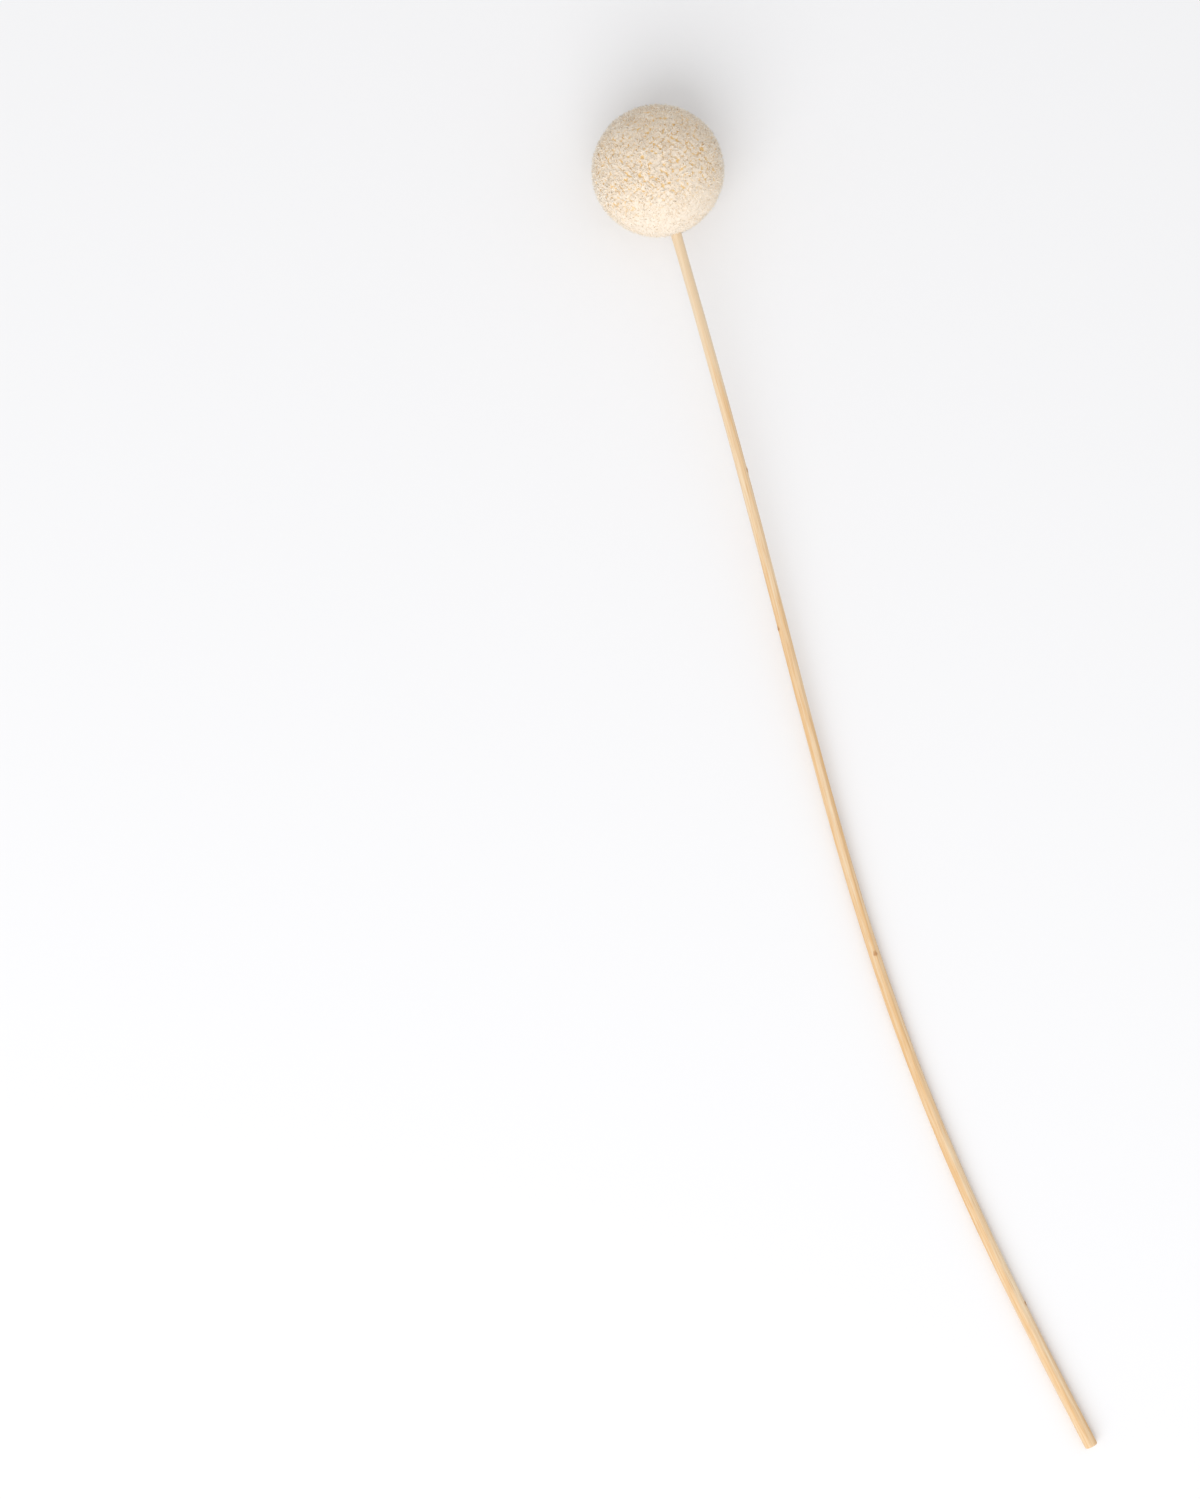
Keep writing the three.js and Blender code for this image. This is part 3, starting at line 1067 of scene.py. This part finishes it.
@dataclass
class FlowerHead:
    """The globe: a downy bed with pits in honey and painted warm shade, under florets, curls, papery bracts
    and seed hairs in tufts.
    """

    axis: Vector
    middle: Vector = field(default_factory=lambda: Vector((0.0, 0.0, 17.8 * MM)))
    bed_radius: float = 17.98 * MM
    bed_subdivisions: int = 7
    tip_radius: float = 18.4 * MM
    reined_from: float = 18.4 * MM
    reined_share: float = 0.5
    tufts: int = 1800
    tuft_radius: float = 0.87 * MM
    dip_depth: float = 0.08 * MM
    pit_depth: float = 0.22 * MM
    dip_from: tuple[float, float] = (0.5, 1.2)
    pit_spots: float = 320.0
    pit_from: tuple[float, float] = (0.25, 0.4)
    closed_from: tuple[float, float] = (0.1, 0.85)
    closed_fill: float = 0.75
    fold_height: float = 0.2 * MM
    fold_stray: float = 0.5
    fold_scale: float = 900.0
    warp: float = 0.9 * MM
    warp_scale: float = 420.0
    first_angle: float = math.radians(7.2)
    tuft_stray: float = 0.35 * MM
    tuft_unevenness: float = 0.12 * MM
    swell: float = 0.42 * MM
    swell_size: float = 5.0 * MM
    press_from: float = 1.4 * MM
    press_slack: float = 0.5 * MM
    forms_each: int = 4
    hair_bends: tuple[float, ...] = (0.4, 0.8, 1.2)
    hair_waves: tuple[float, ...] = (-0.25, 0.25)
    bract_bends: tuple[float, ...] = (0.1, 0.3, 0.5)
    bract_width: float = 0.3
    bract_taper: float = 0.85
    curl_bends: tuple[float, ...] = (-0.6, -0.3, 0.3, 0.6)
    curl_lengths: tuple[float, ...] = (1.3, 1.7)
    florets: Scatter = Scatter(
        ("florets",), seed=5, radius=18.02 * MM, members=1, size=0.68, size_spread=0.18, reach=1.0 * MM,
        splay=0.25, comb=0.1, edge_drop=0.2 * MM, closed_drop=0.35 * MM,
    )  # fmt: skip
    curls: Scatter = Scatter(
        ("papery_curls_round_stalk", "papery_curls_on_crown"), seed=61, radius=17.98 * MM,
        reach=0.68 * MM, lean=0.15, comb=0.05, closed_drop=0.15 * MM, unevenness=0.06 * MM,
    )  # fmt: skip
    bracts: Scatter = Scatter(
        ("papery_bracts",), seed=83, radius=17.5 * MM, splay=0.0, closed_drop=0.45 * MM
    )
    hairs: Scatter = Scatter(
        ("seed_hairs_round_stalk", "seed_hairs_on_crown"), seed=23, radius=17.4 * MM,
        members=8, size_spread=0.2, comb=0.25, edge_drop=0.2 * MM,
    )  # fmt: skip

    def build(self) -> list[bpy.types.Object]:
        """Makes the head's pieces and dresses them.

        Returns:
            The pieces, which stand for the node flower_head.
        """
        pieces = [self._bed(DownFinish().material()).make("downy_bed")]
        florets = [Floret(form, number).build() for form in FloretForm for number in range(self.forms_each)]
        pieces += self._spread(self.florets, florets, FloretFinish().material())
        curls = [Curl(bend, length).build() for bend in self.curl_bends for length in self.curl_lengths]
        pieces += self._spread(self.curls, curls, CurlFinish().material())
        finish = HairFinish().material(self.middle, self.bed_radius - self.pit_depth, self.tip_radius)
        bracts = self._strands(self.bract_bends, width=self.bract_width, taper=self.bract_taper)
        pieces += self._spread(self.bracts, bracts, finish)
        pieces += self._spread(self.hairs, self._strands(self.hair_bends), finish)
        return [mounted(piece, "flower_head") for piece in pieces]

    def _strands(self, bends: Sequence[float], **sizes: float) -> list[bpy.types.Object]:
        """Makes a strand of each bend and wave, with any of a strand's other sizes changed."""
        return [Strand(bend, wave, **sizes).build() for bend in bends for wave in self.hair_waves]

    def _spread(
        self, scatter: Scatter, forms: Sequence[bpy.types.Object], finish: bpy.types.Material
    ) -> list[bpy.types.Object]:
        """Spreads small things over the globe, one piece for each band, and removes the forms.

        Args:
            scatter: How they are spread.
            forms: The small things to pick from.
            finish: Their finish.

        Returns:
            The bands' pieces.
        """
        source = bpy.data.collections.new("forms")
        for form in forms:
            source.objects.link(form)
        recipe = self._scatter_recipe(scatter, source, finish)
        each = math.ceil(self.tufts / len(scatter.bands)) * scatter.members
        total = self.tufts * scatter.members
        firsts = range(0, total, each)
        pieces = [
            recipe.make(name, First=first, Count=min(each, total - first))
            for name, first in zip(scatter.bands, firsts)
        ]
        bpy.data.batch_remove([*forms, *(form.data for form in forms), source])
        return pieces

    def _tuft_heart(self, bench: ShapeBench, tuft: Wire, tufts: Wire) -> Wire:
        """The direction of each tuft's middle, in an even golden-angle spiral with a little stray.

        Args:
            bench: The tree's bench.
            tuft: The tuft's number, counted from the stalk, which is towards +Z, to the crown.
            tufts: How many tufts there are.

        Returns:
            The direction from the head's middle, of length 1.
        """
        top = math.cos(self.first_angle)
        height = top - (tuft + 0.5) / tufts * (1 + top)
        around = (1 - height * height).at_least(0.0).math("SQRT")
        turn = tuft * GOLDEN_ANGLE
        even = bench.vector(around * turn.math("COSINE"), around * turn.math("SINE"), height)
        stray = bench.draw_vector(tuft, TUFT_SEED, self.tuft_stray / self.tip_radius)
        return bench.unit(bench.added(even, stray))

    def _closed(self, bench: ShapeBench, direction: Wire) -> Wire:
        """How closed and downy the head is at a direction: 1 round the stalk, and 0 past its middle."""
        return bench.parts(direction)[2].eased(*self.closed_from)

    def _tuft_lift(self, bench: ShapeBench, direction: Wire) -> Wire:
        """How far the globe swells out or in at a direction."""
        spot = bench.scaled(direction, self.tip_radius / self.swell_size)
        return (bench.noise(spot, detail=1.0) - 0.5) * (2 * self.swell)

    def _bed(self, finish: bpy.types.Material) -> ShapeBench:
        """Builds the tree of the downy bed, which rises in a dome under each tuft.

        Args:
            finish: The bed's finish.

        Returns:
            The tree's bench.
        """
        bench = ShapeBench("downy_bed")
        tufts = bench.input("Tufts", "Int", self.tufts)
        radius = bench.input("Radius", "Float", self.bed_radius)
        pit = bench.input("Pit depth", "Float", self.pit_depth)
        hearts = bench.scaled(self._tuft_heart(bench, bench.shape("InputIndex"), tufts), radius)
        hearts = bench.shape("Points", Count=tufts, Position=hearts)
        ball = bench.shape("MeshIcoSphere", Radius=radius, Subdivisions=self.bed_subdivisions)

        # how far each place is from the nearest tuft's middle, read a little beside it for uneven edges
        position = bench.shape("InputPosition")
        warp = bench.noise(position, self.warp_scale, output="Color")
        warp = bench.scaled(bench.vector_math("SUBTRACT", warp, (0.5, 0.5, 0.5)), 2 * self.warp)
        nearest = bench.node(
            "GeometryNodeProximity",
            {"target_element": "POINTS"},
            {"Geometry": hearts, "Sample Position": bench.added(position, warp)},
        )
        away = Wire(bench, nearest.outputs["Distance"]) / self.tuft_radius
        strand = bench.vector_math("SUBTRACT", position, Wire(bench, nearest.outputs["Position"]))

        out = bench.unit(position)
        fold = bench.noise(position, self.fold_scale) - 0.5
        sunk = (away + fold * self.fold_stray).eased(*self.dip_from)
        sunk = sunk * (1 - self._closed(bench, out) * self.closed_fill)
        open_pit = sunk * bench.noise(position, self.pit_spots, 1.0).eased(*self.pit_from)
        lift = self._tuft_lift(bench, out) + fold * self.fold_height
        lift = lift - sunk * self.dip_depth - open_pit * pit
        ball = bench.keep(ball, "strand", bench.scaled(strand, 1 / self.tuft_radius), "FLOAT_VECTOR")
        # lobe is 0 in the open pits, where the down's finish paints honey and warm shade
        ball = bench.keep(ball, "lobe", 1 - open_pit)
        ball = bench.shape("SetPosition", Geometry=ball, Offset=bench.scaled(out, lift))
        bench.end(self._settled(bench, ball), finish)
        return bench

    def _scatter_recipe(
        self, scatter: Scatter, forms: bpy.types.Collection, finish: bpy.types.Material
    ) -> ShapeBench:
        """Builds the tree that stands small things in tufts, and the tufts in a golden-angle spiral.

        Args:
            scatter: How they are spread.
            forms: The small things to pick from.
            finish: Their finish.

        Returns:
            The tree's bench. The inputs First and Count pick one stretch of the spiral.
        """
        bench = ShapeBench(f"{scatter.bands[0]}_scatter")
        tufts = bench.input("Tufts", "Int", self.tufts)
        members = bench.input("Members", "Int", scatter.members)
        first = bench.input("First", "Int", 0)
        count = bench.input("Count", "Int", self.tufts * scatter.members)
        radius = bench.input("Radius", "Float", scatter.radius)
        reach = bench.input("Tuft reach", "Float", scatter.reach)
        size = bench.input("Size", "Float", scatter.size)
        seed = bench.input("Seed", "Int", scatter.seed)
        source = bench.input("Forms", "Collection", forms)

        # the tufts' even spiral, from the stalk to the crown, with +Z towards the stalk
        number = bench.shape("InputIndex") + first
        tuft = ((number + 0.5) / members).math("FLOOR")
        member = number - tuft * members
        heart = self._tuft_heart(bench, tuft, tufts)

        # each tuft's members, in a small spiral of their own, lean out more and sink lower at its edge
        outness = ((member + 0.5) / members).math("SQRT")
        turn = member * GOLDEN_ANGLE + bench.draw(tuft, TUFT_SEED + 1, high=math.tau)
        east = bench.unit(bench.vector_math("CROSS_PRODUCT", heart, SIDEWAYS))
        north = bench.vector_math("CROSS_PRODUCT", heart, east)
        outward = bench.added(
            bench.scaled(east, outness * turn.math("COSINE")),
            bench.scaled(north, outness * turn.math("SINE")),
            bench.draw_vector(number, seed, scatter.loose),
        )
        direction = bench.unit(bench.added(heart, bench.scaled(outward, reach / radius)))
        pointing = bench.added(
            direction,
            bench.scaled(outward, scatter.splay),
            bench.draw_vector(number, seed + 1, scatter.lean),
            bench.draw_vector(tuft, TUFT_SEED + 3, scatter.comb),
        )
        lifted = radius + self._tuft_lift(bench, heart) - outness * outness * scatter.edge_drop
        lifted = lifted - self._closed(bench, heart) * scatter.closed_drop
        lifted = lifted + bench.draw(tuft, TUFT_SEED + 2, -self.tuft_unevenness, self.tuft_unevenness)
        lifted = lifted + bench.draw(number, seed + 2, -scatter.unevenness, scatter.unevenness)
        rotation = bench.wire(
            "FunctionNodeAxesToRotation",
            {"primary_axis": "Z", "secondary_axis": "X"},
            {"Primary Axis": pointing, "Secondary Axis": bench.draw_vector(number, seed + 3)},
        )
        grown = bench.draw(number, seed + 4, 1 - scatter.size_spread, 1 + scatter.size_spread)
        pick = bench.draw(number, seed + 5, high=len(forms.objects)).math("FLOOR")
        each = bench.shape(
            "CollectionInfo", Collection=source, Separate_Children=True, Reset_Children=True
        )
        spread = bench.shape(
            "InstanceOnPoints",
            Points=bench.shape("Points", Count=count, Position=bench.scaled(direction, lifted)),
            Instance=each,
            Pick_Instance=True,
            Instance_Index=pick,
            Rotation=rotation,
            Scale=size * grown,
        )
        spread = bench.keep(spread, "tone", bench.draw(number, seed + 6), on="INSTANCE")
        spread = bench.shape("RealizeInstances", Geometry=spread)
        bench.end(self._settled(bench, spread), finish)
        return bench

    def _settled(self, bench: ShapeBench, geometry: Wire) -> Wire:
        """Turns the geometry so that its +Z is the stalk's side, lifts it, and presses its underside in.

        Args:
            bench: The tree's bench.
            geometry: The geometry, round the origin.

        Returns:
            The geometry in its place, with nothing under the surface that the head rests on.
        """
        position = bench.shape("InputPosition")
        out = bench.vector_math("LENGTH", position)
        kept = out.at_most(self.reined_from) + (out - self.reined_from).at_least(0.0) * self.reined_share
        reined = bench.shape("SetPosition", Geometry=geometry, Position=bench.scaled(position, kept / out))
        rotation = self.axis.to_track_quat("Z", "Y").to_euler()
        middle = tuple(self.middle)
        turned = bench.shape("Transform", Geometry=reined, Translation=middle, Rotation=rotation)
        x, y, z = bench.parts(position)
        # under press_from, heights shrink more and more towards 0, so that nothing becomes quite flat
        pressed = (z / self.press_from - 1).at_most(0.0).math("EXPONENT") * self.press_from
        pressed = pressed + (z - self.press_from).at_least(0.0)
        lowest = math.exp((self.middle.z - self.tip_radius - self.press_slack) / self.press_from - 1)
        place = bench.vector(x, y, (pressed - lowest * self.press_from).at_least(0.0))
        return bench.shape("SetPosition", Geometry=turned, Position=place)


def mounted(piece: bpy.types.Object, node: str) -> bpy.types.Object:
    """Joins a finished piece to the part.

    Args:
        piece: The piece.
        node: The CAD node that it stands for.

    Returns:
        The piece.
    """
    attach(piece, ROOT_BODY)
    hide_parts(node)
    triangles = sum(len(face.vertices) - 2 for face in piece.data.polygons)
    log.info("%s: %d triangles, for node %s", piece.name, triangles, node)
    return piece


# ---- The studio ----


@dataclass
class Studio:
    """A white sweep, a large soft lamp past the stalk's cut end, and a camera that looks straight down."""

    floor_size: float = 30.0
    floor_drop: float = 0.05 * MM
    lamp_from: Vector = field(default_factory=lambda: Vector((1.0, -0.62, 1.05)))
    lamp_aim: Vector = field(default_factory=lambda: Vector((0.1, 0.0, 0.0)))
    lamp_size: float = 1.8
    lamp_power: float = 14.0
    sky: Colour = (1.0, 1.0, 1.0)
    sky_strength: float = 0.765
    camera_place: Vector = field(default_factory=lambda: Vector((0.14668, -0.067284, 1.2)))
    camera_turn: float = math.radians(71.0739)
    camera_lens: float = 102.287
    camera_near: float = 0.01
    sensor: float = 36.0

    def build(self) -> None:
        """Makes the floor, the light and the camera."""
        self._floor()
        self._light()
        self._camera()
        log.info("studio: floor, lamp, sky and camera")

    def _floor(self) -> None:
        """Lays the white sweep just under the part."""
        half = self.floor_size / 2
        corners = [(-half, -half), (half, -half), (half, half), (-half, half)]
        mesh = bpy.data.meshes.new("white_floor")
        mesh.from_pydata([(x, y, -self.floor_drop) for x, y in corners], [], [(0, 1, 2, 3)])
        mesh.materials.append(FloorFinish().material())
        placed("white_floor", mesh)

    def _light(self) -> None:
        """Sets up the lamp and the sky, and keeps colours as they are."""
        lamp_data = bpy.data.lights.new("soft_lamp", "AREA")
        lamp_data.shape = "DISK"
        lamp_data.size = self.lamp_size
        lamp_data.energy = self.lamp_power
        lamp = placed("soft_lamp", lamp_data)
        lamp.location = self.lamp_from
        lamp.rotation_euler = (self.lamp_aim - self.lamp_from).to_track_quat("-Z", "Y").to_euler()
        world = bpy.data.worlds.new("white_sky")
        world.use_nodes = True
        background = world.node_tree.nodes["Background"]
        background.inputs["Color"].default_value = (*self.sky, 1.0)
        background.inputs["Strength"].default_value = self.sky_strength
        bpy.context.scene.world = world
        bpy.context.scene.view_settings.view_transform = "Standard"

    def _camera(self) -> None:
        """Puts the camera straight over the stem."""
        data = bpy.data.cameras.new("overhead")
        data.sensor_width = self.sensor
        data.lens = self.camera_lens
        data.clip_start = self.camera_near
        camera = placed("overhead", data)
        turn = Matrix.Rotation(self.camera_turn, 4, "Z")
        camera.matrix_world = Matrix.Translation(self.camera_place) @ turn
        bpy.context.scene.camera = camera


def main() -> None:
    """Builds the stem and the studio round it."""
    logging.basicConfig(level=logging.INFO, format="%(message)s")
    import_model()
    stalk = Stalk()
    stalk.build()
    FlowerHead(axis=stalk.neck_direction()).build()
    Studio().build()


if __name__ == "__main__":
    main()
